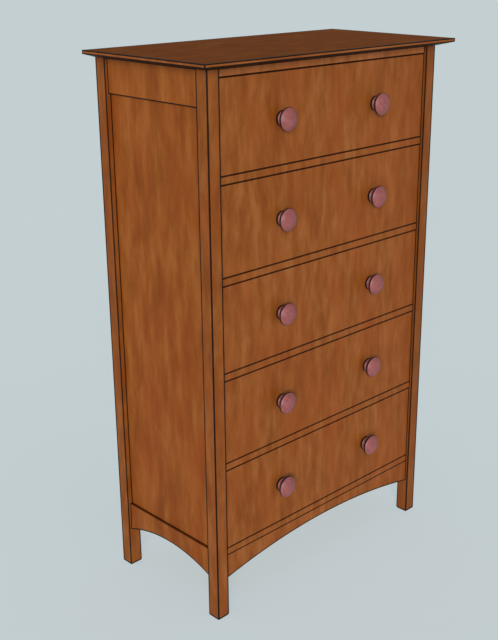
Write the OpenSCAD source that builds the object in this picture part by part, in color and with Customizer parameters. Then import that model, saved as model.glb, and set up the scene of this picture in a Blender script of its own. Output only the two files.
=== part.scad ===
// Tall five-drawer chest: four square posts, frame-and-panel sides and back, five equal
// inset drawers, an arched apron and an overhanging top that is bevelled underneath.
// Millimetres. +Z is up, the drawers face -Y, and the origin is on the floor under the
// middle of the top.

/* [Case] */
// Width of the case over its posts
case_w = 845; // [700:5:1000]
// Depth of the case over its posts
case_d = 419; // [360:1:520]
// Side of each square post
post_w = 38; // [36:1:46]
// Height from the floor to the underside of the lowest divider
base_h = 181.7; // [160:0.1:260]
// Height of each drawer opening
opening_h = 231.5; // [160:0.5:280]
// Thickness of rails, dividers, apron and drawer fronts
rail_t = 19; // [18:0.5:24]
// How far rails, dividers and drawer fronts stand behind the posts at the front
front_setback = 6.35; // [4:0.05:12]
// How far the side rails stand in from the posts
side_setback = 6.35; // [5:0.05:10]
// How far the back rails stand in from the posts
back_setback = 6.35; // [3:0.05:8]

/* [Top] */
// Thickness of the top
top_t = 19; // [16:0.5:28]
// Overhang of the top at the front and at both sides
top_overhang = 38; // [36:1:45]
// Height of the square edge above the bevel
top_edge_h = 10; // [6:0.5:14]
// Width of the bevel cut under the top
bevel_run = 34; // [15:1:35]

/* [Side and back frames] */
// Height of the top rails
top_rail_h = 89; // [70:1:120]
// Height of the bottom rails at their ends
bottom_rail_h = 86; // [70:1:110]
// Rise of the arch under each side rail
side_arch_rise = 35; // [15:1:45]
// How far a panel stands behind its frame
panel_reveal = 6.35; // [4:0.05:6.5]
// Width of the panel grooves and of the tenons in line with them
groove_w = 8; // [6:0.5:8]
// Depth of the panel grooves
groove_d = 8; // [6:0.5:10]
// Width of the upright between the two back panels
muntin_w = 64; // [50:1:90]

/* [Apron] */
// Height of the apron at its ends
apron_h = 72; // [60:0.5:100]
// Rise of the arch under the apron
apron_arch_rise = 41; // [15:0.5:45]

/* [Drawer frames] */
// Depth of the front dividers, front to back
divider_d = 60; // [50:1:80]
// Depth of the rear dividers, front to back
rear_divider_d = 55; // [40:1:70]
// Width of the part of a runner that carries a drawer side
runner_w = 38; // [30:1:60]
// Height of the guide strips on the runners
guide_h = 19; // [12:1:30]
// Length of the tongues on the runners and kickers
runner_tongue_l = 10; // [6:1:14]
// Distance of each drawer stop from the middle of the chest
stop_x = 250; // [200:5:280]
// Length, depth and height of a drawer stop
stop_l = 45; // [30:1:60]
stop_d = 15; // [10:1:20]
stop_h = 6; // [4:0.5:8]

/* [Drawers] */
// Thickness of the drawer sides and backs
drawer_side_t = 12; // [10:0.5:14]
// Thickness of the drawer bottoms
drawer_bottom_t = 6; // [5:0.5:8]
// Height of the bottom's groove above the lower edge of the sides
bottom_rise = 12; // [12:0.5:18]
// Depth of the groove for the bottom
bottom_groove_d = 6; // [4:0.5:7]
// Wood left in front of the half-blind dovetails
dovetail_lap = 6; // [4:0.5:8]
// Number of tails at each corner
tail_count = 5; // [3:1:7]
// Narrow width of the pins between the tails
pin_w = 6; // [4:0.5:8]
// Slope of the dovetails, run in this many parts for a rise of one
tail_slope = 7; // [6:0.5:9]

/* [Knobs] */
// Distance of each knob from the middle of the drawer
knob_x = 176.5; // [120:0.5:240]
// Diameter of the knob's head
knob_d = 60; // [45:1:66]
// How far the knob stands in front of the drawer
knob_l = 39; // [36:0.5:42]
// Height of the widest part of the head above the drawer front
knob_rim_l = 24; // [22:0.5:28]
// Diameter of the knob's foot
knob_foot_d = 40; // [34:1:42]
// Diameter of the knob's waist
knob_waist_d = 30; // [24:1:32]
// Diameter of the tenon that holds the knob
knob_tenon_d = 12; // [8:0.5:14]

/* [Screws that hold the top] */
// Diameter of the screw's shank
screw_d = 4.2; // [3:0.1:5]
// Diameter of the screw's head
screw_head_d = 8.6; // [7:0.1:10]
// Height of the screw's head
screw_head_h = 3; // [2:0.1:4]
// How far the screws reach into the top
screw_bite = 10; // [6:0.5:11]
// Extra length of the slotted holes, for the top's seasonal movement
slot_play = 4; // [2:0.5:8]

/* [Clearances] */
// Gap on each side of a tenon, tongue, panel or dovetail
joint_gap = 0.15; // [0.1:0.05:0.25]
// Room left at the end of a tenon or at the edge of a panel
end_gap = 1; // [0.5:0.1:1.5]
// Gap round a drawer front, and at the drawer's sides
reveal = 1.5; // [1.5:0.1:3]
// Running gap under the drawer sides
run_gap = 0.3; // [0.2:0.05:0.6]
// Space between the back of a drawer and the back of the case
drawer_back_gap = 12; // [8:1:20]
// Gap between a closed drawer front and its stops
stop_gap = 0.3; // [0.3:0.05:0.6]

/* [Hidden] */
DRAWERS = [1, 2, 3, 4, 5];
CASE_NODES = [
    "top", "post_front_left", "post_front_right", "post_rear_left", "post_rear_right",
    "side_top_rail_left", "side_top_rail_right", "side_bottom_rail_left",
    "side_bottom_rail_right", "side_panel_left", "side_panel_right",
    "back_top_rail", "back_bottom_rail", "back_muntin", "back_panel_left", "back_panel_right",
    "front_top_rail", "divider_1", "divider_2", "divider_3", "divider_4", "bottom_divider",
    "front_apron", "rear_dividers", "drawer_runners", "drawer_guides", "kickers",
    "drawer_stops", "top_screws"
];
DRAWER_PIECES = ["front", "side_left", "side_right", "back", "bottom", "knobs"];
$fn = 96;

case_brown = "#8f5127";
top_brown = "#673a1e";
inside_pale = "#c79a64";
knob_pink = "#a05c5e";
screw_grey = "#8a8a88";

// Places across the width, from the middle outwards
x_out = case_w / 2;
x_in = x_out - post_w;
x_side_rail_out = x_out - side_setback;
x_side_rail_in = x_side_rail_out - rail_t;
x_side_groove_out = x_side_rail_out - panel_reveal;
x_side_groove_in = x_side_groove_out - groove_w;
cross_mortise_web = 1;
cross_tenon_l = x_side_groove_in - x_in - cross_mortise_web - end_gap;

// Places along the depth: the top overhangs at the front and is flush at the back
top_d = case_d + top_overhang;
y_back = top_d / 2;
y_front = y_back - case_d;
y_face = y_front + front_setback;
y_post_front_in = y_front + post_w;
y_post_rear_in = y_back - post_w;
y_back_rail_out = y_back - back_setback;
y_back_rail_in = y_back_rail_out - rail_t;
y_back_groove_out = y_back_rail_out - panel_reveal;
y_back_groove_in = y_back_groove_out - groove_w;
y_divider_back = y_face + divider_d;
y_rear_divider_front = y_back_rail_in - rear_divider_d;
side_mortise_floor = 14;
side_tenon_l = post_w - side_mortise_floor;

// Heights: level 0 is the lowest divider and level 5 the rail under the top
function level_z(level) = base_h + level * (rail_t + opening_h);
function opening_z(n) = level_z(len(DRAWERS) - n) + rail_t;
levels = len(DRAWERS);
z_top_under = level_z(levels) + rail_t;
z_top_rail = z_top_under - top_rail_h;
z_bottom_rail_top = base_h + rail_t;
z_bottom_rail = z_bottom_rail_top - bottom_rail_h;
z_apron = base_h - apron_h;
z_groove_low = z_bottom_rail_top - groove_d;
z_groove_high = z_top_rail + groove_d;

// Tenons in the rails are this much lower than the rail at each edge
tenon_shoulder = 12;
// Tenons in the dividers leave this much wood above and below, before and behind
divider_shoulder = 5;
stub_shoulder = 2;

// The drawer box
box_x = x_in - reveal;
box_x_in = box_x - drawer_side_t;
y_front_back = y_face + rail_t;
y_tail_tip = y_face + dovetail_lap;
y_box_rear = y_back_rail_in - drawer_back_gap;
y_box_back = y_box_rear - drawer_side_t;
box_low = run_gap;
front_low = reveal;
box_high = opening_h - reveal;
bottom_groove_low = box_low + bottom_rise;
bottom_groove_high = bottom_groove_low + drawer_bottom_t + 2 * joint_gap;

// A box given by its two corners
module span(low, high) {
    translate(low) cube(high - low);
}

// The same on both sides of the chest's middle plane
module both_sides() {
    children();
    mirror([1, 0, 0]) children();
}

// The wood under an arch, for a board that runs along X from -half to half
module arch_cut(half, rise, z, depth) {
    radius = (half * half + rise * rise) / (2 * rise);
    translate([0, 0, z + rise - radius])
        rotate([90, 0, 0]) cylinder(r = radius, h = depth, center = true, $fn = 720);
}

// Tenons: each is drawn once, grown by the joint's gap to cut its mortise

// Both ends of a level piece that lies between the posts
module cross_tenons(y_low, y_high, z_low, z_high, gap = 0, room = 0) {
    both_sides() span([x_in - 1, y_low - gap, z_low - gap],
                      [x_in + cross_tenon_l + room, y_high + gap, z_high + gap]);
}

// A front divider at a level
module divider_tenons(level, gap = 0, room = 0) {
    z = level_z(level);
    cross_tenons(y_face + divider_shoulder, y_post_front_in - divider_shoulder,
                 z + divider_shoulder, z + rail_t - divider_shoulder, gap, room);
}

// A rear divider at a level: a narrow tenon in front of the back rails
module rear_divider_tenons(level, gap = 0, room = 0) {
    z = level_z(level);
    cross_tenons(y_post_rear_in + stub_shoulder, y_back_rail_in - stub_shoulder,
                 z + divider_shoulder, z + rail_t - divider_shoulder, gap, room);
}

module apron_tenons(gap = 0, room = 0) {
    y_mid = y_face + rail_t / 2;
    cross_tenons(y_mid - groove_w / 2, y_mid + groove_w / 2,
                 z_apron + tenon_shoulder, base_h - tenon_shoulder, gap, room);
}

module back_rail_tenons(z_low, z_high, gap = 0, room = 0) {
    cross_tenons(y_back_groove_in, y_back_groove_out,
                 z_low + tenon_shoulder, z_high - tenon_shoulder, gap, room);
}

// Both ends of the right-hand side rails, which run front to back
module side_rail_tenons(z_low, z_high, gap = 0, room = 0) {
    span([x_side_groove_in - gap, y_post_front_in - side_tenon_l - room, z_low + tenon_shoulder - gap],
         [x_side_groove_out + gap, y_post_rear_in + side_tenon_l + room, z_high - tenon_shoulder + gap]);
}

// Tongues at both ends of a right-hand runner or kicker that lies between two cross pieces
module runner_tongues(z, y_low, y_high, gap = 0, room = 0) {
    span([x_in - runner_w + divider_shoulder - gap, y_low - runner_tongue_l - room,
          z + divider_shoulder + 1 - gap],
         [x_in - divider_shoulder + gap, y_high + runner_tongue_l + room,
          z + rail_t - divider_shoulder - 1 + gap]);
}

module runner_sockets(z, y_low, y_high) {
    both_sides() runner_tongues(z, y_low, y_high, joint_gap, end_gap);
}

// Posts

// Mortises and panel grooves that both right-hand posts share
module side_mortises() {
    side_rail_tenons(z_top_rail, z_top_under, joint_gap, end_gap);
    side_rail_tenons(z_bottom_rail, z_bottom_rail_top, joint_gap, end_gap);
    span([x_side_groove_in, y_post_front_in - groove_d, z_groove_low],
         [x_side_groove_out, y_post_rear_in + groove_d, z_groove_high]);
}

module post_front_right() {
    color(case_brown) difference() {
        span([x_in, y_front, 0], [x_out, y_post_front_in, z_top_under]);
        side_mortises();
        for (level = [0 : levels]) divider_tenons(level, joint_gap, end_gap);
        apron_tenons(joint_gap, end_gap);
    }
}

module post_rear_right() {
    color(case_brown) difference() {
        span([x_in, y_post_rear_in, 0], [x_out, y_back, z_top_under]);
        side_mortises();
        for (level = [0 : levels - 1]) rear_divider_tenons(level, joint_gap, end_gap);
        back_rail_tenons(z_top_rail, z_top_under, joint_gap, end_gap);
        back_rail_tenons(z_bottom_rail, z_bottom_rail_top, joint_gap, end_gap);
        span([x_in - 1, y_back_groove_in, z_groove_low],
             [x_in + groove_d, y_back_groove_out, z_groove_high]);
    }
}

// Side frames, drawn on the right

module side_top_rail() {
    color(case_brown) difference() {
        union() {
            span([x_side_rail_in, y_post_front_in, z_top_rail],
                 [x_side_rail_out, y_post_rear_in, z_top_under]);
            side_rail_tenons(z_top_rail, z_top_under);
        }
        span([x_side_groove_in, y_post_front_in - side_tenon_l, z_top_rail - 1],
             [x_side_groove_out, y_post_rear_in + side_tenon_l, z_groove_high]);
    }
}

module side_bottom_rail() {
    span_y = y_post_rear_in - y_post_front_in;
    y_mid = (y_post_rear_in + y_post_front_in) / 2;
    color(case_brown) difference() {
        union() {
            span([x_side_rail_in, y_post_front_in, z_bottom_rail],
                 [x_side_rail_out, y_post_rear_in, z_bottom_rail_top]);
            side_rail_tenons(z_bottom_rail, z_bottom_rail_top);
        }
        span([x_side_groove_in, y_post_front_in - side_tenon_l, z_groove_low],
             [x_side_groove_out, y_post_rear_in + side_tenon_l, z_bottom_rail_top + 1]);
        translate([x_side_rail_in + rail_t / 2, y_mid, 0])
            rotate([0, 0, 90]) arch_cut(span_y / 2, side_arch_rise, z_bottom_rail, 2 * rail_t);
    }
}

module side_panel() {
    color(case_brown)
        span([x_side_groove_in + joint_gap, y_post_front_in - groove_d + end_gap, z_groove_low + end_gap],
             [x_side_groove_out - joint_gap, y_post_rear_in + groove_d - end_gap, z_groove_high - end_gap]);
}

// Back frame

// The groove that the back panels and the upright between them stand in
module back_groove() {
    span([-x_in - groove_d, y_back_groove_in, z_groove_low],
         [x_in + groove_d, y_back_groove_out, z_groove_high]);
}

module back_rail(z_low, z_high) {
    color(case_brown) difference() {
        union() {
            span([-x_in, y_back_rail_in, z_low], [x_in, y_back_rail_out, z_high]);
            back_rail_tenons(z_low, z_high);
        }
        back_groove();
        runner_sockets(level_z(levels), y_divider_back, y_back_rail_in);
    }
}

module back_muntin() {
    half = muntin_w / 2;
    color(case_brown) difference() {
        union() {
            span([-half, y_back_rail_in, z_bottom_rail_top], [half, y_back_rail_out, z_top_rail]);
            span([-half, y_back_groove_in + joint_gap, z_groove_low + end_gap],
                 [half, y_back_groove_out - joint_gap, z_groove_high - end_gap]);
        }
        both_sides() span([half - groove_d, y_back_groove_in, z_groove_low],
                          [half + 1, y_back_groove_out, z_groove_high]);
    }
}

module back_panel() {
    color(case_brown)
        span([muntin_w / 2 - groove_d + end_gap, y_back_groove_in + joint_gap, z_groove_low + end_gap],
             [x_in + groove_d - end_gap, y_back_groove_out - joint_gap, z_groove_high - end_gap]);
}

// Front rails, apron and the frames that carry the drawers

module divider(level) {
    z = level_z(level);
    carries_runners = level < levels;
    color(case_brown) difference() {
        union() {
            span([-x_in, y_face, z], [x_in, y_divider_back, z + rail_t]);
            divider_tenons(level);
        }
        if (carries_runners) runner_sockets(z, y_divider_back, y_rear_divider_front);
        else runner_sockets(z, y_divider_back, y_back_rail_in);
    }
}

module front_apron() {
    color(case_brown) difference() {
        union() {
            span([-x_in, y_face, z_apron], [x_in, y_face + rail_t, base_h]);
            apron_tenons();
        }
        translate([0, y_face + rail_t / 2, 0]) arch_cut(x_in, apron_arch_rise, z_apron, 2 * rail_t);
    }
}

module rear_dividers() {
    color(inside_pale) for (level = [0 : levels - 1]) difference() {
        union() {
            span([-x_in, y_rear_divider_front, level_z(level)],
                 [x_in, y_back_rail_in, level_z(level) + rail_t]);
            rear_divider_tenons(level);
        }
        runner_sockets(level_z(level), y_divider_back, y_rear_divider_front);
    }
}

// Each runner is wide between the posts, so that it also carries the guide, and narrow
// between the dividers, where it ends in a tongue
module runner(level) {
    z = level_z(level);
    span([x_in - runner_w, y_divider_back, z], [x_in, y_rear_divider_front, z + rail_t]);
    span([x_in, y_post_front_in, z], [x_side_rail_in, y_post_rear_in, z + rail_t]);
    runner_tongues(z, y_divider_back, y_rear_divider_front);
}

module drawer_runners() {
    color(inside_pale) for (level = [0 : levels - 1]) both_sides() runner(level);
}

module drawer_guides() {
    color(inside_pale) for (level = [0 : levels - 1]) both_sides()
        span([x_in, y_post_front_in, level_z(level) + rail_t],
             [x_side_rail_in, y_post_rear_in, level_z(level) + rail_t + guide_h]);
}

module drawer_stops() {
    y_low = y_front_back + stop_gap;
    color(inside_pale) for (level = [0 : levels - 1]) both_sides()
        span([stop_x - stop_l / 2, y_low, level_z(level) + rail_t],
             [stop_x + stop_l / 2, y_low + stop_d, level_z(level) + rail_t + stop_h]);
}

// Places of the screws along a kicker: the first is fixed and the others may slide
screw_margin = 45;
screw_ys = [y_divider_back + screw_margin, (y_divider_back + y_back_rail_in) / 2, y_back_rail_in - screw_margin];
screw_x = x_in - runner_w / 2;

// A hole in the middle of a kicker, drawn longer along Y where the top may move
module kicker_hole(d, play, z_low, z_high) {
    for (end = [-1, 1]) translate([0, end * play / 2, z_low]) cylinder(d = d, h = z_high - z_low);
    span([-d / 2, -play / 2, z_low], [d / 2, play / 2, z_high]);
}

module kicker() {
    z = level_z(levels);
    sink = screw_head_h + 2;
    difference() {
        union() {
            span([x_in - runner_w, y_divider_back, z], [x_in, y_back_rail_in, z + rail_t]);
            runner_tongues(z, y_divider_back, y_back_rail_in);
        }
        for (i = [0 : 2]) translate([screw_x, screw_ys[i], 0]) {
            play = i == 0 ? 0.001 : slot_play;
            kicker_hole(screw_head_d + 1, play, z - 1, z + sink);
            kicker_hole(screw_d + 2 * joint_gap, play, z, z + rail_t + 1);
        }
    }
}

module kickers() {
    color(inside_pale) both_sides() kicker();
}

module top_screws() {
    z_head = level_z(levels) + 2;
    color(screw_grey) both_sides() for (y = screw_ys) translate([screw_x, y, z_head]) {
        cylinder(d = screw_head_d, h = screw_head_h);
        cylinder(d = screw_d, h = z_top_under + screw_bite - z_head);
    }
}

module top() {
    half_w = x_out + top_overhang;
    y_edge = y_front - top_overhang;
    bevel = [[0, -1], [0, top_t - top_edge_h], [bevel_run, 0], [bevel_run, -1]];
    color(top_brown) difference() {
        span([-half_w, y_edge, z_top_under], [half_w, y_back, z_top_under + top_t]);
        translate([half_w + 1, y_edge, z_top_under])
            rotate([90, 0, -90]) mirror([1, 0, 0]) linear_extrude(2 * half_w + 2) polygon(bevel);
        both_sides() translate([-half_w, y_back + 1, z_top_under])
            rotate([90, 0, 0]) linear_extrude(top_d + top_overhang) polygon(bevel);
        both_sides() for (y = screw_ys) translate([screw_x, y, z_top_under - 1])
            cylinder(d = screw_d + 2 * joint_gap, h = screw_bite + end_gap + 1);
    }
}

// Drawers: n is 1 for the top drawer. Heights below are measured from the floor of its opening.

// One upright row of tails, centred on height zero. They start at 0, where they are narrow, and
// widen to their length; the pins between them keep pin_w there. gap grows each tail to cut its
// socket.
module tails(length, height, gap = 0) {
    pitch = (height - pin_w) / tail_count;
    taper = length / tail_slope;
    for (i = [0 : tail_count - 1]) {
        low = -height / 2 + pin_w + i * pitch - gap;
        high = -height / 2 + (i + 1) * pitch + gap;
        polygon([[-1, low + taper], [0, low + taper], [length + gap, low], [length + gap, high],
                 [0, high - taper], [-1, high - taper]]);
    }
}

module front_tails(gap = 0) {
    translate([y_front_back, (front_low + box_high) / 2])
        rotate(180) tails(y_front_back - y_tail_tip, box_high - front_low, gap);
}

module rear_tails(gap = 0) {
    translate([y_box_back, (bottom_groove_high + box_high) / 2])
        tails(y_box_rear - y_box_back, box_high - bottom_groove_high, gap);
}

// Carries a drawing in the Y-Z plane out to a board that lies from x_low to x_high
module along_x(x_low, x_high) {
    translate([x_low, 0, 0]) rotate([90, 0, 90]) linear_extrude(x_high - x_low) children();
}

module at_opening(n) {
    translate([0, 0, opening_z(n)]) children();
}

module drawer_front(n) {
    knob_z = opening_h / 2;
    color(case_brown) at_opening(n) difference() {
        span([-box_x, y_face, front_low], [box_x, y_front_back, box_high]);
        both_sides() along_x(box_x_in - joint_gap, box_x + 1) front_tails(joint_gap);
        span([-box_x_in, y_front_back - bottom_groove_d, bottom_groove_low],
             [box_x_in, y_front_back + 1, bottom_groove_high]);
        both_sides() translate([knob_x, y_face - 1, knob_z])
            rotate([-90, 0, 0]) cylinder(d = knob_tenon_d + 2 * joint_gap, h = rail_t + 2);
    }
}

// The right-hand side: a board between front and back, with its tails at both ends and the
// strip under the back that carries the bottom
module drawer_side(n) {
    color(inside_pale) at_opening(n) difference() {
        along_x(box_x_in, box_x) union() {
            translate([y_front_back, box_low]) square([y_box_back - y_front_back, box_high - box_low]);
            translate([y_box_back - 1, box_low])
                square([y_box_rear - y_box_back + 1, bottom_groove_high - box_low]);
            front_tails();
            rear_tails();
        }
        span([box_x_in - 1, y_front_back - bottom_groove_d, bottom_groove_low],
             [box_x_in + bottom_groove_d, y_box_rear + 1, bottom_groove_high]);
    }
}

module drawer_back(n) {
    color(inside_pale) at_opening(n) difference() {
        span([-box_x, y_box_back, bottom_groove_high], [box_x, y_box_rear, box_high]);
        both_sides() along_x(box_x_in - joint_gap, box_x + 1) rear_tails(joint_gap);
    }
}

module drawer_bottom(n) {
    half = box_x_in + bottom_groove_d - end_gap / 2;
    z = bottom_groove_low + joint_gap;
    color(inside_pale) at_opening(n)
        span([-half, y_front_back - bottom_groove_d + end_gap / 2, z],
             [half, y_box_rear, z + drawer_bottom_t]);
}

// The knob's outline, radius against height: a foot, a hollow waist that flares out to a
// rounded rim, and a domed head, part of a ball that runs smoothly into the rim
module knob_outline() {
    foot_r = knob_foot_d / 2;
    foot_h = 4;
    rim_r = 4;
    rim_x = knob_d / 2 - rim_r;
    waist_r = knob_waist_d / 2;
    flare_h = knob_rim_l - rim_r;
    cove_r = (flare_h - foot_h) / 2;
    dome_h = knob_l - knob_rim_l;
    ball_r = (rim_x * rim_x + dome_h * dome_h - rim_r * rim_r) / (2 * (dome_h - rim_r));
    touch_x = rim_x * ball_r / (ball_r - rim_r);
    square([foot_r, foot_h]);
    square([waist_r, knob_rim_l]);
    difference() {
        union() {
            translate([0, foot_h]) square([foot_r, cove_r]);
            translate([0, foot_h + cove_r]) square([waist_r + cove_r, cove_r]);
        }
        translate([waist_r + cove_r, foot_h + cove_r]) circle(r = cove_r);
    }
    translate([0, flare_h]) square([rim_x, rim_r]);
    translate([rim_x, knob_rim_l]) circle(r = rim_r);
    intersection() {
        translate([0, knob_l - ball_r]) circle(r = ball_r, $fn = 240);
        translate([0, knob_rim_l]) square([touch_x, dome_h + 1]);
    }
}

module drawer_knobs(n) {
    color(knob_pink) at_opening(n) both_sides() translate([knob_x, y_face, opening_h / 2]) {
        rotate([90, 0, 0]) rotate_extrude() knob_outline();
        rotate([-90, 0, 0]) cylinder(d = knob_tenon_d, h = rail_t);
    }
}

top();
post_front_right();
mirror([1, 0, 0]) post_front_right();  // post_front_left
post_rear_right();
mirror([1, 0, 0]) post_rear_right();  // post_rear_left
side_top_rail();  // side_top_rail_right
mirror([1, 0, 0]) side_top_rail();  // side_top_rail_left
side_bottom_rail();  // side_bottom_rail_right
mirror([1, 0, 0]) side_bottom_rail();  // side_bottom_rail_left
side_panel();  // side_panel_right
mirror([1, 0, 0]) side_panel();  // side_panel_left
back_rail(z_top_rail, z_top_under);  // back_top_rail
back_rail(z_bottom_rail, z_bottom_rail_top);  // back_bottom_rail
back_muntin();
back_panel();  // back_panel_right
mirror([1, 0, 0]) back_panel();  // back_panel_left
divider(levels);  // front_top_rail
for (n = [1 : levels - 1])
    divider(levels - n);
divider(0);  // bottom_divider
front_apron();
rear_dividers();
drawer_runners();
drawer_guides();
kickers();
drawer_stops();
top_screws();
for (n = DRAWERS) {
    drawer_front(n);
    drawer_side(n);
    mirror([1, 0, 0]) drawer_side(n);
    drawer_back(n);
    drawer_bottom(n);
    drawer_knobs(n);
}
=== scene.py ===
# Tall chest of five drawers in oiled cherry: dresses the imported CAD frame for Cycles.
# Metres. +Z is up, the drawers open towards -Y, the origin is on the floor under the top's middle.
from math import pi, radians

import bmesh
import bpy
import numpy as np
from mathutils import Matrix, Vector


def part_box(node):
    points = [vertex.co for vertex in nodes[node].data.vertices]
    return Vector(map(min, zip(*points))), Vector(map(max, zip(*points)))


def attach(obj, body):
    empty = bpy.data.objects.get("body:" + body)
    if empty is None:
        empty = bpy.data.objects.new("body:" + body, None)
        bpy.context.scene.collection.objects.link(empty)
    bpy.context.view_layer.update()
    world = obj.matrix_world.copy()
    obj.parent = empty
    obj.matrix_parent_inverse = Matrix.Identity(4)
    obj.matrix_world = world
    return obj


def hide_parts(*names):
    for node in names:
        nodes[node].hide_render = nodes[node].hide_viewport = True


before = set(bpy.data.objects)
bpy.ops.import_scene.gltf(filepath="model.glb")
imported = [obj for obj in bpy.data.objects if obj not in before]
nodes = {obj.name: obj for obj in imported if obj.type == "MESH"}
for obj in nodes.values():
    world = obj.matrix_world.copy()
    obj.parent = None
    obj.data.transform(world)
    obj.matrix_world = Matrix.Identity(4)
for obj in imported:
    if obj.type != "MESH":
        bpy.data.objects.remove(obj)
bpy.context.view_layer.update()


# Colours and shader nodes

def toLinear(hexColour):  # sRGB hex to linear light: the sRGB curve on each channel
    channel = np.array([int(hexColour[i:i + 2], 16) for i in (1, 3, 5)]) / 255
    light = np.where(channel <= 0.04045, channel / 12.92, ((channel + 0.055) / 1.055) ** 2.4)
    return (*light.tolist(), 1.0)


def newMaterial(name):  # a material, its node tree and its shader
    material = bpy.data.materials.new(name)
    material.use_nodes = True
    return material, material.node_tree, material.node_tree.nodes["Principled BSDF"]


def setNode(tree, node, settings=None, links=None):  # gives a node its settings and links
    for name, value in (settings or {}).items():
        if isinstance(name, int) or name in node.inputs:
            node.inputs[name].default_value = value
        else:
            setattr(node, name, value)
    for name, output in (links or {}).items():
        tree.links.new(output, node.inputs[name])
    return node


def addNode(tree, kind, settings=None, links=None):
    return setNode(tree, tree.nodes.new("ShaderNode" + kind), settings, links)


def addRamp(tree, stops, factor):  # a colour ramp through (place, hex) stops
    ramp = addNode(tree, "ValToRGB", links={"Fac": factor})
    while len(ramp.color_ramp.elements) < len(stops):
        ramp.color_ramp.elements.new(0.5)
    for element, (place, hexColour) in zip(ramp.color_ramp.elements, stops):
        element.position = place
        element.color = toLinear(hexColour)
    return ramp.outputs["Color"]


def addNoise(tree, place, scale, detail, rough):  # noise with its own scale along each axis
    place = addNode(tree, "Mapping", {"Scale": scale}, {"Vector": place}).outputs["Vector"]
    return addNode(tree, "TexNoise", {"Scale": 1.0, "Detail": detail, "Roughness": rough}, {"Vector": place})


def stretch(tree, value, span, result):  # values over the span become the result's, clamped
    ends = {"From Min": span[0], "From Max": span[1], "To Min": result[0], "To Max": result[1]}
    return addNode(tree, "MapRange", ends, {"Value": value}).outputs["Result"]


def blend(tree, factor, under, tone):  # a hex tone laid on under by factor
    settings = {"data_type": "RGBA", 7: toLinear(tone)}
    return addNode(tree, "Mix", settings, {0: factor, 6: under}).outputs[2]


sheenSpan = (0.35, 0.65)  # the noise values at which a roughness is at its least and at its most
waveLength = 0.314  # metres from crest to crest of Blender's wave texture at scale 1


# Woods. Lengths are in metres; "wide" is across the grain and "long" is along it. Real fibres are
# 0.02 mm wide, gum flecks 0.3 mm wide and rings 2 to 4 mm apart: all are drawn coarser to show.

# Cherry, planed, scraped and oiled: a warm red-brown with soft, low-contrast figure and small dark
# flecks of gum. Its sheen follows the grain, and is low because the oil sits in the pores.
cherry = {
    "deep": "#7B3E10", "body": "#884B1A", "light": "#975829", "flare": "#8E4516", "line": "#653010",
    "figureWide": 0.027, "figureLong": 0.095, "wander": 0.014,
    "patchWide": 0.075, "patchLong": 0.20, "patchStrength": 0.50,
    "strandWide": 0.011, "strandLong": 0.060, "strandStrength": 0.22,
    "fibreWide": 0.0011, "fibreLong": 0.018, "fibreStrength": 0.30,
    "ringSpacing": 0.016, "ringStrength": 0.05,
    "fleckWide": 0.0016, "fleckLong": 0.020, "fleckStrength": 0.22,
    "roughness": (0.50, 0.62), "ior": 1.47, "gloss": 0.15, "bump": 0.00010,
}
# The same wood where its right end is heartwood, redder and deeper: heart holds where that starts
# and is full, in metres from the chest's middle, and its strength.
cherryFront = {**cherry, "heart": (0.27, 0.38, 0.45), "heartTone": "#783706"}
# The same wood in wider, redder boards with a broader figure, for the sides.
cherrySide = {
    **cherry, "deep": "#783B10", "body": "#874817", "light": "#965725", "flare": "#8C4114",
    "figureWide": 0.036, "figureLong": 0.14, "strandStrength": 0.12, "gloss": 0.1,
}
# The same wood, lighter: painted light that offsets the shadow that the top's overhang casts on the rails just
# under it.
cherryPaintedLight = {
    **cherry, "deep": "#87491B", "body": "#955628", "light": "#A46337", "flare": "#9B5023",
}
# The same painted light on the side wood, for the side top rails under the overhang.
cherrySidePaintedLight = {
    **cherrySide, "deep": "#7E4014", "body": "#8E4E1C", "light": "#9D5D2A", "flare": "#934718",
}
# The same wood from slightly darker planks, for the posts, with the right-hand posts of heartwood.
cherryPost = {
    **cherry, "deep": "#763B0F", "body": "#834716", "light": "#925425", "flare": "#894213",
    "heart": (0.38, 0.384, 0.35), "heartTone": "#67370F",
}
# The same wood, nearly black: painted shade on the eased edges, on the dark strips beside edges and joints,
# and on the bevel under the top.
cherryPaintedShade = {
    **cherry, "deep": "#180903", "body": "#1E0D05", "light": "#261208", "flare": "#1F0D05", "line": "#110602",
    "gloss": 0.1,
}
# The top's upper face, darker: painted shade for how the light falls on it, and dull from use.
cherryTopPaintedShade = {
    **cherry, "deep": "#6D3910", "body": "#784014", "light": "#81491B", "flare": "#7B3B14", "line": "#582D10",
    "roughness": (0.60, 0.72), "gloss": 0.01,
}
# Maple for the drawer boxes and the frames inside, planed and left pale.
maple = {
    **cherry, "deep": "#BE9059", "body": "#C79A64", "light": "#D6B07E", "flare": "#CC9960", "line": "#9A6E40",
    "figureWide": 0.022, "figureLong": 0.34, "patchStrength": 0.30, "ringStrength": 0.16,
    "ringSpacing": 0.012, "roughness": (0.55, 0.70), "ior": 1.45, "gloss": 0.3,
}
# The same maple, darker: painted shade on the eased edges of the drawer boxes and frames.
maplePaintedShade = {
    **maple, "deep": "#9C7241", "body": "#A67D4B", "light": "#B18A58", "flare": "#A97B46", "line": "#7E5930",
}


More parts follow.
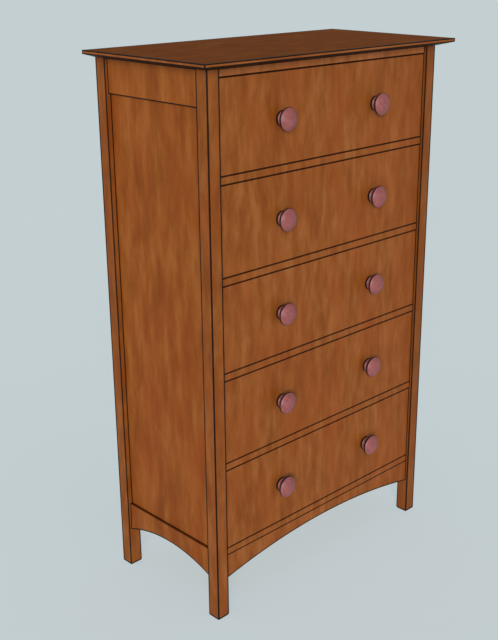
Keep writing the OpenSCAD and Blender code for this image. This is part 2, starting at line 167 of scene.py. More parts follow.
# What all planks share: how much the grain bends along the board, where the tree's pith lies, how
# its rings waver, each noise's detail and roughness, the values over which each layer comes in,
# and how much lower the flecks lie than the fibres
grain = {
    "bendScale": (7.0, 7.0, 3.0), "bendNoise": (1.0, 0.5),
    "pith": (0.21, 0.33, 0.0), "lean": (radians(1.6), radians(-2.2), 0.0),
    "ringWaver": 5.0, "ringWaverDetail": 2.0, "ringWaverScale": 0.35,
    "noise": {"figure": (3.0, 0.55), "patch": (2.0, 0.5), "strand": (2.0, 0.6), "fibre": (2.0, 0.6),
              "fleck": (1.0, 0.5)},
    "span": {"patch": (0.40, 0.66), "ring": (0.55, 1.0), "strand": (0.50, 0.72), "fibre": (0.50, 0.72),
             "fleck": (0.66, 0.74)},
    "figureStops": {"deep": 0.33, "body": 0.50, "light": 0.68},
    "fleckHeight": -0.6, "bumpStrength": 0.35,
}


def plankMaterial(name, wood, along, shift):
    # Turns the board's grain to Z and moves it by shift, then lays one noise over another, each
    # stretched along the grain: soft figure, patches, growth rings round a leaning pith, strands,
    # fibres and flecks. The strands also set the sheen, the fibres and flecks a very low bump.
    material, tree, shader = newMaterial(name)
    turn = {"x": (0.0, -pi / 2, 0.0), "y": (pi / 2, 0.0, 0.0), "z": (0.0, 0.0, 0.0)}[along]
    chestPlace = addNode(tree, "TexCoord").outputs["Object"]
    place = addNode(tree, "Mapping", {"Rotation": turn, "Location": shift}, {"Vector": chestPlace})
    place = place.outputs["Vector"]
    wander = 2 * wood["wander"]  # the noise runs from 0 to 1, so this moves the figure half to each side
    bend = addNoise(tree, place, grain["bendScale"], *grain["bendNoise"]).outputs["Color"]
    place = addNode(tree, "VectorMath", {"operation": "MULTIPLY_ADD", 1: (wander, wander, 0.0)},
                    {0: bend, 2: place}).outputs["Vector"]

    layers = {}
    for layer, (detail, rough) in grain["noise"].items():
        wide, long = wood[layer + "Wide"], wood[layer + "Long"]
        layers[layer] = addNoise(tree, place, (1 / wide, 1 / wide, 1 / long), detail, rough).outputs["Fac"]
    lean = addNode(tree, "Mapping", {"Location": grain["pith"], "Rotation": grain["lean"]}, {"Vector": place})
    layers["ring"] = addNode(tree, "TexWave", {
        "wave_type": "RINGS", "rings_direction": "Z", "wave_profile": "SAW",
        "Scale": waveLength / wood["ringSpacing"], "Distortion": grain["ringWaver"],
        "Detail": grain["ringWaverDetail"], "Detail Scale": grain["ringWaverScale"],
    }, {"Vector": lean.outputs["Vector"]}).outputs["Fac"]

    def tint(colour, layer, tone):  # lays the wood's tone on the colour where the layer is strong
        factor = stretch(tree, layers[layer], grain["span"][layer], (0.0, wood[layer + "Strength"]))
        return blend(tree, factor, colour, wood[tone])

    stops = [(stop, wood[tone]) for tone, stop in grain["figureStops"].items()]
    colour = tint(addRamp(tree, stops, layers["figure"]), "patch", "flare")
    if "heart" in wood:
        start, full, strength = wood["heart"]
        across = addNode(tree, "SeparateXYZ", links={"Vector": chestPlace}).outputs["X"]
        colour = blend(tree, stretch(tree, across, (start, full), (0.0, strength)), colour, wood["heartTone"])
    for layer, tone in (("ring", "line"), ("strand", "deep"), ("fibre", "line"), ("fleck", "line")):
        colour = tint(colour, layer, tone)

    satin = stretch(tree, layers["strand"], sheenSpan, wood["roughness"])
    relief = addNode(tree, "Math", {"operation": "MULTIPLY_ADD", 1: grain["fleckHeight"]},
                     {0: layers["fleck"], 2: layers["fibre"]}).outputs["Value"]
    bump = addNode(tree, "Bump", {"Strength": grain["bumpStrength"], "Distance": wood["bump"]},
                   {"Height": relief}).outputs["Normal"]
    setNode(tree, shader, {"IOR": wood["ior"], "Specular IOR Level": wood["gloss"]},
            {"Base Color": colour, "Roughness": satin, "Normal": bump})
    return material


# Boards: each CAD board is copied, its triangles joined into flat faces, and its sharp edges
# rounded. Each work step takes the edges that a test picks, may first draw a dark strip of painted
# shade on both sides of them, and then rounds the edge itself. Strip and rounding take the second
# material, a darker tone that paints shade on them.

# The second material paints shade on eased edges and dark strips, the third paints shade on the top's upper
# face.
paintedShadeSlot, upperShadeSlot = 1, 2  # materials of a board after its wood: eased edge, and the top's upper face

# Distances in metres, angles in degrees. A strip follows the edges longer than shortest, and a
# rounding those longer than shortestRound; a step may give a smaller shortest for both.
shaping = {
    "rounds": 2, "weld": 1e-6, "flatAngle": 0.1, "cornerAngle": 60, "shortest": 0.015, "shortestRound": 0.012,
    "cutReach": 1e-7, "sliver": 2e-5, "samePlace": 1e-5, "smoothAngle": 50,
    "facing": 0.99, "nearlyFacing": 0.9,  # least cosines between a face's normal and an axis
}


def bodyOf(nodeName):  # drawer_3_front rides on drawer_3; a name without a number rides on the case
    return nodeName[:8] if nodeName.startswith("drawer_") and nodeName[7].isdigit() else "case"


def sharpEdges(shell, picks, shortest):  # the outward corners longer than shortest that picks takes
    found = []
    for edge in shell.edges:
        middle = (edge.verts[0].co + edge.verts[1].co) / 2
        corner = edge.is_convex and edge.calc_face_angle(0) > radians(shaping["cornerAngle"])
        if corner and edge.calc_length() > shortest and picks(middle):
            found.append(edge)
    return found


def easeEdges(shell, picks, ease, strip, shortest):
    same = {"offset_type": "OFFSET", "segments": shaping["rounds"], "affect": "EDGES",
            "clamp_overlap": True, "material": paintedShadeSlot}
    if strip:  # a bevel with a square profile keeps the shape and cuts the strip's far sides
        edges = sharpEdges(shell, picks, shortest)
        bmesh.ops.bevel(shell, geom=edges, offset=ease + strip, profile=1.0, **same)
    edges = sharpEdges(shell, picks, min(shortest, shaping["shortestRound"]))
    bmesh.ops.bevel(shell, geom=edges, offset=ease, profile=0.5, **same)


def darkenBeside(shell, axis, place, width, facing):
    # A dark strip of painted shade along the plane axis = place, on the faces that look along the facing axis
    across = tuple(float(i == axis) for i in range(3))
    for offset in (-width, width):
        point = tuple(across[i] * (place + offset) for i in range(3))
        bmesh.ops.bisect_plane(shell, geom=shell.verts[:] + shell.edges[:] + shell.faces[:],
                               dist=shaping["cutReach"], plane_co=point, plane_no=across)
    for face in shell.faces:
        beside = abs(face.calc_center_median()[axis] - place) < width
        if beside and abs(face.normal[facing]) > shaping["nearlyFacing"]:
            face.material_index = paintedShadeSlot


def darkenRim(shell, axis, sign, width, top):
    # A dark strip of painted shade inside the outline of the largest face that looks along the axis, but not
    # along the face's upper edge
    outward = [face for face in shell.faces if face.normal[axis] * sign > shaping["facing"]]
    face = max(outward, key=lambda face: face.calc_area())
    bmesh.ops.inset_individual(shell, faces=[face], thickness=width, use_even_offset=True)
    for edge in face.edges:
        for rim in edge.link_faces:
            if rim is not face and rim.calc_center_median().z < top - width:
                rim.material_index = paintedShadeSlot


def dressBoard(nodeName, finishes, work, beside=(), rim=None):
    shell = bmesh.new()
    shell.from_mesh(nodes[nodeName].data)
    bmesh.ops.remove_doubles(shell, verts=shell.verts, dist=shaping["weld"])
    bmesh.ops.dissolve_limit(shell, angle_limit=radians(shaping["flatAngle"]), verts=shell.verts,
                             edges=shell.edges)
    low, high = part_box(nodeName)
    for step in work:
        easeEdges(shell, pickers[step["edges"]](low, high), step["ease"], step.get("strip", 0.0),
                  step.get("shortest", shaping["shortest"]))
    if rim:
        darkenRim(shell, rim["axis"], 1 if away(low, high, rim["axis"]) > 0 else -1, rim["width"], high.z)
    for axis, place, width, facing in beside:
        darkenBeside(shell, axis, place, width, facing)
    bmesh.ops.dissolve_degenerate(shell, dist=shaping["sliver"], edges=shell.edges)
    mesh = bpy.data.meshes.new(nodeName + "_board")
    shell.to_mesh(mesh)
    shell.free()
    for finish in finishes:
        mesh.materials.append(finish)
    mesh.shade_smooth()
    mesh.set_sharp_from_angle(angle=radians(shaping["smoothAngle"]))
    board = bpy.data.objects.new(nodeName + "_board", mesh)
    bpy.context.scene.collection.objects.link(board)
    flat = board.modifiers.new("flat faces", "WEIGHTED_NORMAL")
    flat.keep_sharp = True
    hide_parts(nodeName)
    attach(board, bodyOf(nodeName))
    return board


def near(one, two):  # the same place
    return abs(one - two) < shaping["samePlace"]


def away(low, high, axis):  # the side of the board's box that is farther from the chest's middle
    return low[axis] if abs(low[axis]) > abs(high[axis]) else high[axis]


# Tests of an edge's middle, each made for one board's box
pickers = {
    "all": lambda low, high: lambda at: True,
    "frontFace": lambda low, high: lambda at: near(at.y, low.y),
    "backFace": lambda low, high: lambda at: near(at.y, high.y),
    "sideFace": lambda low, high: lambda at: near(at.x, away(low, high, 0)),
    "outerCorner": lambda low, high: lambda at: (
        near(at.x, away(low, high, 0)) and near(at.y, away(low, high, 1))),
    "innerCorners": lambda low, high: lambda at: (
        (near(at.x, low.x) or near(at.x, high.x)) and (near(at.y, low.y) or near(at.y, high.y))
        and not (near(at.x, away(low, high, 0)) and near(at.y, away(low, high, 1)))),
    "footEnd": lambda low, high: lambda at: near(at.z, low.z),
    "topEdges": lambda low, high: lambda at: (near(at.x, low.x) or near(at.x, high.x)
                                              or near(at.y, low.y) or near(at.y, high.y)),
}
drawers = range(1, 6)
dividers = ["divider_1", "divider_2", "divider_3", "divider_4", "bottom_divider"]
frontGrain = (0.37, 0.11, 0.63)  # one sheet of upright figure runs down the whole front, as in the photo
sideGrain = (2.15, 1.42, 0.9)
# Each set's "edge" wood is a darker tone that paints shade on its eased edges and strips.
outside = {"slot": "case_wood", "wood": cherry, "edge": cherryPaintedShade, "along": "z"}
inside = {"slot": "inside_wood", "wood": maple, "edge": maplePaintedShade}
drawerBox = {**inside, "work": [{"edges": "all", "ease": 0.0007}]}
boardSets = {
    "front": {
        **outside, "nodes": [f"drawer_{n}_front" for n in drawers] + dividers, "wood": cherryFront,
        "shift": frontGrain, "work": [{"edges": "frontFace", "ease": 0.0012}]},
    # The rail under the top takes painted light that offsets the shadow of the top's overhang.
    "frontTopRail": {
        **outside, "nodes": ["front_top_rail"], "wood": cherryPaintedLight, "shift": frontGrain,
        "work": [{"edges": "frontFace", "ease": 0.0012}]},
    "apron": {
        **outside, "nodes": ["front_apron"], "wood": cherryFront, "shift": frontGrain,
        "work": [{"edges": "frontFace", "ease": 0.0012, "shortest": 0.0}],
        "rim": {"axis": 1, "width": 0.0030}},
    "frontPosts": {
        **outside, "nodes": ["post_front_left", "post_front_right"], "wood": cherryPost,
        "shift": (0.93, 0.84, 0.6),
        "work": [{"edges": "outerCorner", "ease": 0.0012, "strip": 0.0014},
                 {"edges": "innerCorners", "ease": 0.0010, "strip": 0.0024},
                 {"edges": "footEnd", "ease": 0.0012, "shortest": 0.0}]},
    "rearPosts": {
        **outside, "nodes": ["post_rear_left", "post_rear_right"], "wood": cherryPost,
        "shift": (1.31, 0.57, 0.2),
        "work": [{"edges": "outerCorner", "ease": 0.0012, "strip": 0.0036},
                 {"edges": "innerCorners", "ease": 0.0010, "strip": 0.0024},
                 {"edges": "footEnd", "ease": 0.0012, "shortest": 0.0}]},
    # The side top rails take painted light that offsets the shadow of the top's overhang.
    "sides": {
        **outside, "nodes": ["side_top_rail_left", "side_top_rail_right"], "wood": cherrySidePaintedLight,
        "shift": sideGrain, "work": [{"edges": "sideFace", "ease": 0.0012, "strip": 0.0018}]},
    "sideArches": {
        **outside, "nodes": ["side_bottom_rail_left", "side_bottom_rail_right"], "wood": cherrySide,
        "shift": sideGrain, "work": [{"edges": "sideFace", "ease": 0.0012, "shortest": 0.0}],
        "rim": {"axis": 0, "width": 0.0030}},
    "sidePanels": {
        **outside, "nodes": ["side_panel_left", "side_panel_right"], "wood": cherrySide, "shift": sideGrain,
        "work": [{"edges": "all", "ease": 0.0008}]},
    "back": {
        **outside, "nodes": ["back_muntin", "back_top_rail", "back_bottom_rail"], "shift": (3.4, 2.2, 0.5),
        "work": [{"edges": "backFace", "ease": 0.0012, "strip": 0.0012}]},
    "backPanels": {
        **outside, "nodes": ["back_panel_left", "back_panel_right"], "shift": (3.9, 0.7, 0.1),
        "work": [{"edges": "all", "ease": 0.0008}]},
    "frames": {
        **inside, "nodes": ["rear_dividers"], "along": "x", "shift": (0.3, 4.4, 0.0),
        "work": [{"edges": "all", "ease": 0.0008}]},
    "runners": {
        **inside, "nodes": ["drawer_runners", "drawer_guides", "kickers"], "along": "y",
        "shift": (1.3, 3.4, 0.0), "work": [{"edges": "all", "ease": 0.0008}]},
    "stops": {
        **inside, "nodes": ["drawer_stops"], "along": "x", "shift": (2.3, 1.4, 0.0),
        "work": [{"edges": "all", "ease": 0.0006, "shortest": 0.0}]},
    "drawerSides": {
        **drawerBox, "nodes": [f"drawer_{n}_side_{side}" for n in drawers for side in ("left", "right")],
        "along": "y", "shift": (0.9, 5.1, 0.0)},
    "drawerBacks": {
        **drawerBox, "nodes": [f"drawer_{n}_back" for n in drawers], "along": "x", "shift": (4.2, 0.1, 0.0)},
    "drawerBottoms": {
        **drawerBox, "nodes": [f"drawer_{n}_bottom" for n in drawers], "along": "x",
        "shift": (5.0, 0.6, 0.3)},
}
# Painted shade where a board meets another or the floor, as dark lines: the axis, place and width of
# each line, and the axis that its faces look along
postLow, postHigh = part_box("post_front_right")
rearLow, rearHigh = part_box("post_rear_right")
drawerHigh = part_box("drawer_1_front")[1]
sideEnds = [(1, postHigh.y, 0.0030, 0), (1, rearLow.y, 0.0044, 0)]
frontEnds = [(0, -postLow.x, 0.0030, 1), (0, postLow.x, 0.0044, 1)]
drawerEnds = [(0, -drawerHigh.x, 0.0030, 1), (0, drawerHigh.x, 0.0044, 1)]
footLines = [(2, postLow.z, 0.0045, 0), (2, postLow.z, 0.0045, 1)]
innerLines = [(0, -postLow.x, 0.0036, 1), (0, postLow.x, 0.0036, 1)]
frontPostLines = footLines + innerLines + [
    (0, -postHigh.x, 0.0036, 1), (0, postHigh.x, 0.0050, 1),
    (1, postLow.y, 0.0022, 0), (1, postHigh.y, 0.0032, 0)]
rearPostLines = footLines + innerLines + [(1, rearLow.y, 0.0036, 0), (1, rearHigh.y, 0.0052, 0)]
paintedShade = {
    **{f"side_{part}_{side}": sideEnds for part in ("top_rail", "bottom_rail") for side in ("left", "right")},
    **{f"side_panel_{side}": sideEnds + [(2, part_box("side_bottom_rail_left")[1].z, 0.0016, 0)]
       for side in ("left", "right")},
    **{nodeName: frontEnds for nodeName in dividers},
    "front_top_rail": frontEnds + [(2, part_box("front_top_rail")[1].z, 0.0024, 1)],
    "front_apron": frontEnds + [(2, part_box("front_apron")[1].z, 0.0024, 1)],
    **{f"drawer_{n}_front": drawerEnds + [(2, corner.z, 0.0019, 1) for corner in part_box(f"drawer_{n}_front")]
       for n in drawers},
    **{f"post_front_{side}": frontPostLines for side in ("left", "right")},
    **{f"post_rear_{side}": rearPostLines for side in ("left", "right")},
}
for setName, board in boardSets.items():
    finishes = [plankMaterial(f"{setName}Wood", board["wood"], board["along"], board["shift"]),
                plankMaterial(f"{setName}PaintedShadeEdge", board["edge"], board["along"], board["shift"])]
    for nodeName in board["nodes"]:
        dressBoard(nodeName, finishes, board["work"], paintedShade.get(nodeName, ()),
                   board.get("rim"))
    print("boards:", setName, len(board["nodes"]))


# The top: cherry like the case, with painted shade that makes its upper face darker and the bevel under it
# nearly black

top = {
    "work": {"edges": "topEdges", "ease": 0.0018, "strip": 0.0010, "shortest": 0.008}, "outline": 0.006,
    "shift": (0.5, 1.9, 0.0), "upperArea": 0.1, "bevelArea": 0.002,  # the least areas, in square metres
    "bevelTilt": -0.5,
}
topFinishes = [plankMaterial(name, wood, "x", top["shift"]) for name, wood in (
    ("topWood", cherry), ("topPaintedShadeEdge", cherryPaintedShade), ("topUpperFacePaintedShade", cherryTopPaintedShade))]
# Painted shade lines along the edges of the top's upper face
topOutline = [(axis, corner[axis], top["outline"], 2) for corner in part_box("top") for axis in (0, 1)]
topBoard = dressBoard("top", topFinishes, [top["work"]], topOutline)
# Painted shade: the upper face takes the darker tone, the bevel under the edge the nearly black one
for face in topBoard.data.polygons:
    up = face.normal.z
    if up > shaping["facing"] and face.area > top["upperArea"]:
        face.material_index = upperShadeSlot
    elif -shaping["facing"] < up < top["bevelTilt"] and face.area > top["bevelArea"]:
        face.material_index = paintedShadeSlot
print("top:", len(topBoard.data.polygons), "faces")


# Turned pieces: a profile of (radius, height) carried round an axis

turnedSharp = 40  # degrees: edges of turned pieces that bend by more stay crisp


def arc(centre, radius, start, end, steps):  # points of a circle from one angle to the other, in degrees
    angle = np.radians(np.linspace(start, end, steps))
    return np.column_stack([centre[0] + radius * np.cos(angle), centre[1] + radius * np.sin(angle)])


def closedRings(ringPoints, lowPole, highPole, across):
    # Joins rings of points (rings, around, 3) into quads and closes both ends with a fan to a
    # pole. across holds each ring's distance along the profile, for the UV map.
    rings, around = ringPoints.shape[:2]
    points = np.concatenate([ringPoints.reshape(-1, 3), [lowPole, highPole]])
    row, step = np.meshgrid(np.arange(rings - 1), np.arange(around), indexing="ij")
    turn = (step + 1) % around
    quads = np.stack([row * around + step, row * around + turn,
                      (row + 1) * around + turn, (row + 1) * around + step], -1).reshape(-1, 4)
    quadUv = np.stack([np.stack([step, step + 1, step + 1, step], -1) / around,
                       np.stack([across[row], across[row], across[row + 1], across[row + 1]], -1)], -1)
    one = np.arange(around)
    two = (one + 1) % around
    low = np.stack([np.full(around, rings * around), two, one], -1)
    high = np.stack([np.full(around, rings * around + 1), (rings - 1) * around + one,
                     (rings - 1) * around + two], -1)
    half = (one + 0.5) / around
    lowUv = np.stack([np.stack([half, (one + 1) / around, one / around], -1),
                      np.stack([np.full(around, across[0])] * 3, -1)], -1)
    highUv = np.stack([np.stack([half, one / around, (one + 1) / around], -1),
                       np.stack([np.full(around, across[-1])] * 3, -1)], -1)
    corners = np.concatenate([quads.ravel(), low.ravel(), high.ravel()])
    uv = np.concatenate([quadUv.reshape(-1, 2), lowUv.reshape(-1, 2), highUv.reshape(-1, 2)])
    counts = np.concatenate([np.full(len(quads), 4), np.full(2 * around, 3)])
    return points, corners, counts, uv


def surfacePiece(name, parts, finish):
    # Puts several closed surfaces, each (points, corners, counts, uv), into one mesh object
    offsets = np.cumsum([0] + [len(part[0]) for part in parts[:-1]])
    points = np.concatenate([part[0] for part in parts])
    corners = np.concatenate([part[1] + offset for part, offset in zip(parts, offsets)])
    counts = np.concatenate([part[2] for part in parts])
    uv = np.concatenate([part[3] for part in parts])
    mesh = bpy.data.meshes.new(name)
    mesh.vertices.add(len(points))
    mesh.vertices.foreach_set("co", points.astype(np.float32).ravel())
    mesh.loops.add(len(corners))
    mesh.loops.foreach_set("vertex_index", corners.astype(np.int32))
    mesh.polygons.add(len(counts))
    mesh.polygons.foreach_set("loop_start", np.concatenate([[0], np.cumsum(counts)[:-1]]).astype(np.int32))
    mesh.update(calc_edges=True)
    mesh.uv_layers.new(name="turning").data.foreach_set("uv", uv.astype(np.float32).ravel())
    mesh.validate()
    mesh.materials.append(finish)
    mesh.shade_smooth()
    mesh.set_sharp_from_angle(angle=radians(turnedSharp))
    piece = bpy.data.objects.new(name, mesh)
    bpy.context.scene.collection.objects.link(piece)
    return piece


# Knobs: maple, turned, stained rose and waxed. The lathe leaves faint rings round the axis, the
# wax a soft sheen, and painted shade lies nearly black on the foot and under the rim.

knob = {
    "fromMiddle": 0.1765, "foot": 0.020, "footHeight": 0.0047, "softCorner": 0.0006,
    "cove": 0.008, "coveAxis": 0.023, "coveMiddle": 0.012, "coveInset": 0.0004,
    "rim": 0.030, "rimRound": 0.004, "rimHeight": 0.024, "height": 0.039,
    "tenon": 0.006, "tenonLength": 0.0188, "centre": 0.0002, "around": 96,
    "softSteps": 5, "coveSteps": 30, "rimSteps": 14, "domeSteps": 22, "domeFrom": 1.5, "domeTo": 89.6,
    # The last of these tones is painted shade, nearly black, for the foot and under the rim.
    "stain": "#884A48", "stainDeep": "#814443", "stainLight": "#8F504D", "paintedShadeTone": "#120706",
    "stainStops": (0.34, 0.5, 0.68), "roughness": (0.42, 0.50), "ior": 1.48, "gloss": 0.35,
    "grainWide": 0.009, "grainLong": 0.030, "grainNoise": (2.0, 0.5),
    "latheRing": 0.0016, "latheDepth": 0.00005,  # the tool's rings are 0.4 mm apart: drawn coarser
    "latheWaver": 0.6, "latheStrength": 0.15,
    # The painted shade's fade, and how far it reaches up from the foot and past the rim's edge.
    "shadeFade": 0.0008, "footShadeReach": 0.0012, "rimShadeReach": 0.0027, "rimReach": 1e-4, "tiny": 1e-9,
}


def knobProfile(size):
    # From the tenon's end to the crown: straight tenon, flat foot with rounded corners, a cove
    # (part of a circle), a flat under the rim, the rim's own circle, and a dome that is part of a
    # ball tangent to that circle: its radius is (a*a + d*d - r*r) / (2 * (d - r)), with a the
    # distance of the rim's circle from the axis, d the dome's height and r the rim's rounding.
    rimAxis = size["rim"] - size["rimRound"]
    domeHeight = size["height"] - size["rimHeight"]
    ball = (rimAxis ** 2 + domeHeight ** 2 - size["rimRound"] ** 2) / (2 * (domeHeight - size["rimRound"]))
    ballMiddle = size["height"] - ball
    meeting = np.degrees(np.arctan2(size["rimHeight"] - ballMiddle, rimAxis))
    coveReach = size["coveAxis"] - size["foot"] + size["coveInset"]
    coveStart = 180 + np.degrees(np.arccos(coveReach / size["cove"]))
    soft = size["softCorner"]
    tenonEnd = -size["tenonLength"]
    return np.concatenate([
        [(size["centre"], tenonEnd), (size["tenon"] - soft, tenonEnd), (size["tenon"], tenonEnd + soft),
         (size["tenon"], 0.0)],
        arc((size["foot"] - soft, soft), soft, -90, 0, size["softSteps"]),
        [(size["foot"], size["footHeight"])],
        arc((size["coveAxis"], size["coveMiddle"]), size["cove"], coveStart, 90, size["coveSteps"]),
        arc((rimAxis, size["rimHeight"]), size["rimRound"], -90, meeting, size["rimSteps"]),
        arc((0.0, ballMiddle), ball, meeting + size["domeFrom"], size["domeTo"], size["domeSteps"]),
    ])


def pathLength(profile):  # each point's distance from the first, measured on the profile
    return np.concatenate([[0], np.cumsum(np.hypot(*np.diff(profile, axis=0).T))])


def knobSurface(size, x, front, z):  # the profile turned round an axis that points along -Y
    radius, height = knobProfile(size).T
    angle = np.linspace(0, 2 * pi, size["around"], endpoint=False)
    rings = np.stack([x + radius[:, None] * np.cos(angle), front - height[:, None] * np.ones_like(angle),
                      z + radius[:, None] * np.sin(angle)], -1)
    ends = (x, front - height[0], z), (x, front - size["height"], z)
    return closedRings(rings, *ends, pathLength(knobProfile(size)))


def knobMaterial(name, size):
    material, tree, shader = newMaterial(name)
    place = addNode(tree, "TexCoord")
    fine = (1 / size["grainWide"], 1 / size["grainLong"], 1 / size["grainWide"])
    figure = addNoise(tree, place.outputs["Object"], fine, *size["grainNoise"]).outputs["Fac"]
    tones = zip(size["stainStops"], (size["stainDeep"], size["stain"], size["stainLight"]))
    colour = addRamp(tree, list(tones), figure)

    # The painted shade's dark rings, as places along the profile, which is the UV map's height
    profile = knobProfile(size)
    distance = pathLength(profile)
    radius, height = profile.T
    footTop = distance[np.argmax(height >= size["footHeight"])]
    flatStart = distance[np.argmax(height >= size["rimHeight"] - size["rimRound"] - size["tiny"])]
    rimEdge = distance[np.argmax(radius >= size["rim"] - size["rimReach"])]
    fade = size["shadeFade"]
    footEnd, rimEnd = footTop + size["footShadeReach"], rimEdge + size["rimShadeReach"]
    whole = distance[-1]
    paintedShade = addNode(tree, "SeparateXYZ", links={"Vector": place.outputs["UV"]}).outputs["Y"]
    paintedShade = addNode(tree, "Math", {"operation": "DIVIDE", 1: float(whole)}, {0: paintedShade}).outputs["Value"]
    paintedShade = addRamp(tree, [(float(spot / whole), tone) for spot, tone in (
        (footEnd, "#FFFFFF"), (footEnd + fade, "#000000"), (flatStart - fade, "#000000"),
        (flatStart, "#FFFFFF"), (rimEnd, "#FFFFFF"), (rimEnd + fade, "#000000"))], paintedShade)
    colour = blend(tree, paintedShade, colour, size["paintedShadeTone"])

    along = addNode(tree, "Mapping", {"Scale": (0.0, 1.0, 0.0)}, {"Vector": place.outputs["UV"]})
    turns = addNode(tree, "TexWave", {
        "wave_type": "BANDS", "bands_direction": "Y", "Scale": waveLength / size["latheRing"],
        "Distortion": size["latheWaver"],
    }, {"Vector": along.outputs["Vector"]}).outputs["Fac"]
    bump = addNode(tree, "Bump", {"Strength": size["latheStrength"], "Distance": size["latheDepth"]},
                   {"Height": turns}).outputs["Normal"]
    setNode(tree, shader, {"IOR": size["ior"], "Specular IOR Level": size["gloss"]},
            {"Base Color": colour, "Roughness": stretch(tree, figure, sheenSpan, size["roughness"]),
             "Normal": bump})
    return material


rosePolish = knobMaterial("roseStainedMaple", knob)
for n in drawers:
    low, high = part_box(f"drawer_{n}_front")
    middle = (low.z + high.z) / 2
    pair = [knobSurface(knob, side * knob["fromMiddle"], low.y, middle) for side in (-1, 1)]
    knobs = surfacePiece(f"drawer_{n}_turned_knobs", pair, rosePolish)
    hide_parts(f"drawer_{n}_knobs")
    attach(knobs, f"drawer_{n}")
print("knobs: 10, with", len(knobs.data.polygons), "faces a pair")


# Screws that hold the top: zinc-plated steel, rolled thread, cross recess

screw = {
    "head": 0.0043, "headHeight": 0.003, "crest": 0.0021, "core": 0.0015, "pitch": 0.0018, "plain": 0.010,
    "tip": 0.004, "tipLeast": 0.08, "around": 32, "soft": 0.0003, "chamfer": 0.0002,
    "recess": 0.0026, "recessDepth": 0.0014, "recessWaist": 0.25, "armSharpness": 8,
    "faceRings": (0.0003, 0.0008, 0.0013, 0.0018, 0.0023, 0.0028, 0.0036),
    "threadRings": 84, "ridgeSlope": 1.6, "threadGap": 0.0004, "endGap": 0.0001, "ringStep": 0.0005,
    "zincWarm": (0.35, "#8F9088"), "zinc": (0.6, "#A3A6A8"), "bloomScale": 900.0, "bloomDetail": 3.0,
    "roughness": (0.28, 0.45),
}


def screwSurface(size, x, y, low, high):
    # Rings from the middle of the head, which faces down, to the tip. The recess is a cross: its
    # depth falls with the radius and with the angle from its arms. The thread's radius is a
    # ridge of the phase height / pitch - angle / turn, between core and crest.
    angle = np.linspace(0, 2 * pi, size["around"], endpoint=False)
    faceRadius = np.array(size["faceRings"])
    arm = size["recessWaist"] + (1 - size["recessWaist"]) * np.cos(2 * angle) ** size["armSharpness"]
    depth = size["recessDepth"] * np.clip(1 - faceRadius[:, None] / (size["recess"] * arm), 0, 1)
    face = np.stack([faceRadius[:, None] * np.cos(angle), faceRadius[:, None] * np.sin(angle), depth], -1)
    head, headEnd, soft = size["head"], size["headHeight"], size["soft"]
    shoulder = [(head - size["chamfer"], soft), (head, 3 * soft), (head, headEnd - soft),
                (head - soft, headEnd), (size["crest"], headEnd)]
    length, plainEnd = high - low, headEnd + size["plain"]
    threadHeight = np.linspace(plainEnd, length - size["endGap"], size["threadRings"])
    phase = (threadHeight[:, None] / size["pitch"] - angle / (2 * pi)) % 1
    ridge = np.clip(1 - np.abs(2 * phase - 1) * size["ridgeSlope"], 0, 1)
    narrowing = np.clip((length - threadHeight) / size["tip"], size["tipLeast"], 1)[:, None]
    threadRadius = (size["core"] + (size["crest"] - size["core"]) * ridge) * narrowing
    straight = np.array(shoulder + [(size["crest"], plainEnd - size["threadGap"])])
    stem = np.stack([straight[:, :1] * np.cos(angle), straight[:, :1] * np.sin(angle),
                     straight[:, 1:] * np.ones_like(angle)], -1)
    thread = np.stack([threadRadius * np.cos(angle), threadRadius * np.sin(angle),
                       threadHeight[:, None] * np.ones_like(angle)], -1)
    rings = np.concatenate([face, stem, thread]) + (x, y, low)
    across = np.arange(len(rings)) * size["ringStep"]
    return closedRings(rings, (x, y, low + size["recessDepth"]), (x, y, high), across)


def zincMaterial(name, size):
    material, tree, shader = newMaterial(name)
    place = addNode(tree, "TexCoord").outputs["Object"]
    bloom = addNode(tree, "TexNoise", {"Scale": size["bloomScale"], "Detail": size["bloomDetail"]},
                    {"Vector": place}).outputs["Fac"]
    colour = addRamp(tree, [size["zincWarm"], size["zinc"]], bloom)
    setNode(tree, shader, {"Metallic": 1.0},
            {"Base Color": colour, "Roughness": stretch(tree, bloom, sheenSpan, size["roughness"])})
    return material


screwLow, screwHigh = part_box("top_screws")
screwColumns = [screwLow.x + screw["head"], screwHigh.x - screw["head"]]
screwRows = [screwLow.y + screw["head"], (screwLow.y + screwHigh.y) / 2, screwHigh.y - screw["head"]]
screws = surfacePiece("top_screws_threaded", [
    screwSurface(screw, x, y, screwLow.z, screwHigh.z) for x in screwColumns for y in screwRows],
    zincMaterial("zincPlatedSteel", screw))
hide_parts("top_screws")
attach(screws, "case")
print("screws:", len(screwColumns) * len(screwRows))


# Studio: a pale floor lit from below, soft light from the left front, and the photo's camera

studio = {
    "floorDeep": (0.3, "#7C7F80"), "floor": (0.7, "#7E8182"), "cloudScale": 0.8, "cloudDetail": 2.0,
    "floorGlow": "#C4CFD2", "glowStrength": 0.75, "floorReach": 60.0, "sky": "#C5CFD2", "skyStrength": 0.8,
    "keyStrength": 2.75, "keySoftness": 24.0, "keyHeight": 15.0, "keyAround": -45.0,
}


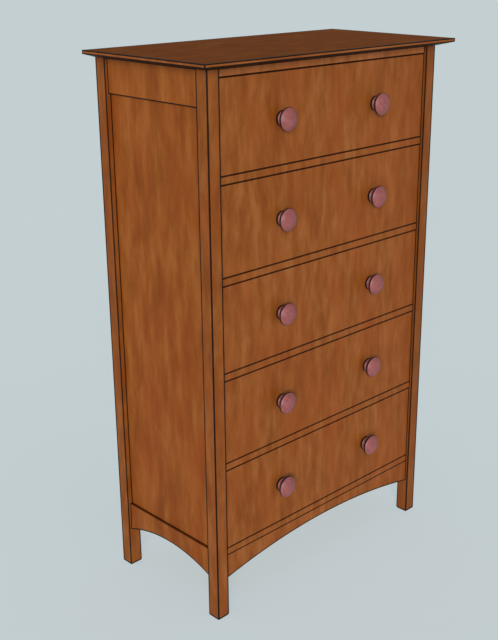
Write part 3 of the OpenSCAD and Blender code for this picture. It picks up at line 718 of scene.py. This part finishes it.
def floorMaterial(name, size):  # a matt acrylic sheet with light behind it, which leaves shadows faint
    material, tree, shader = newMaterial(name)
    place = addNode(tree, "TexCoord").outputs["Object"]
    cloud = addNode(tree, "TexNoise", {"Scale": size["cloudScale"], "Detail": size["cloudDetail"]},
                    {"Vector": place}).outputs["Fac"]
    colour = addRamp(tree, [size["floorDeep"], size["floor"]], cloud)
    setNode(tree, shader, {
        "Roughness": 1.0, "Specular IOR Level": 0.0,
        "Emission Color": toLinear(size["floorGlow"]), "Emission Strength": size["glowStrength"],
    }, {"Base Color": colour})
    return material


reach = studio["floorReach"]
floorCorners = [(-reach, -reach, 0), (reach, -reach, 0), (reach, reach, 0), (-reach, reach, 0)]
floorMesh = bpy.data.meshes.new("floor")
floorMesh.from_pydata(floorCorners, [], [(0, 1, 2, 3)])
floorMesh.materials.append(floorMaterial("litAcrylicFloor", studio))
floor = bpy.data.objects.new("floor", floorMesh)
bpy.context.scene.collection.objects.link(floor)

world = bpy.data.worlds.new("paleSky")
world.use_nodes = True
setNode(world.node_tree, world.node_tree.nodes["Background"],
        {"Color": toLinear(studio["sky"]), "Strength": studio["skyStrength"]})
bpy.context.scene.world = world

keyLight = bpy.data.lights.new("softKey", "SUN")
keyLight.energy = studio["keyStrength"]
keyLight.angle = radians(studio["keySoftness"])
key = bpy.data.objects.new("softKey", keyLight)
key.rotation_euler = (radians(90 - studio["keyHeight"]), 0, radians(studio["keyAround"]))
bpy.context.scene.collection.objects.link(key)

photoView = {
    "place": (-2.00411, -1.98971, 1.72882), "turn": (70.43407, 0.0, -45.18093),
    "sensor": 36.0, "lens": 59.08531, "shift": (-0.04626, -0.01138), "reach": 300.0,
}
lens = bpy.data.cameras.new("photoCamera")
lens.sensor_width = photoView["sensor"]
lens.lens = photoView["lens"]
lens.shift_x, lens.shift_y = photoView["shift"]
lens.clip_end = photoView["reach"]
camera = bpy.data.objects.new("photoCamera", lens)
camera.location = photoView["place"]
camera.rotation_euler = tuple(radians(angle) for angle in photoView["turn"])
bpy.context.scene.collection.objects.link(camera)
bpy.context.scene.camera = camera
bpy.context.scene.view_settings.view_transform = "Standard"
print("studio: floor, sky, one soft light and the camera")
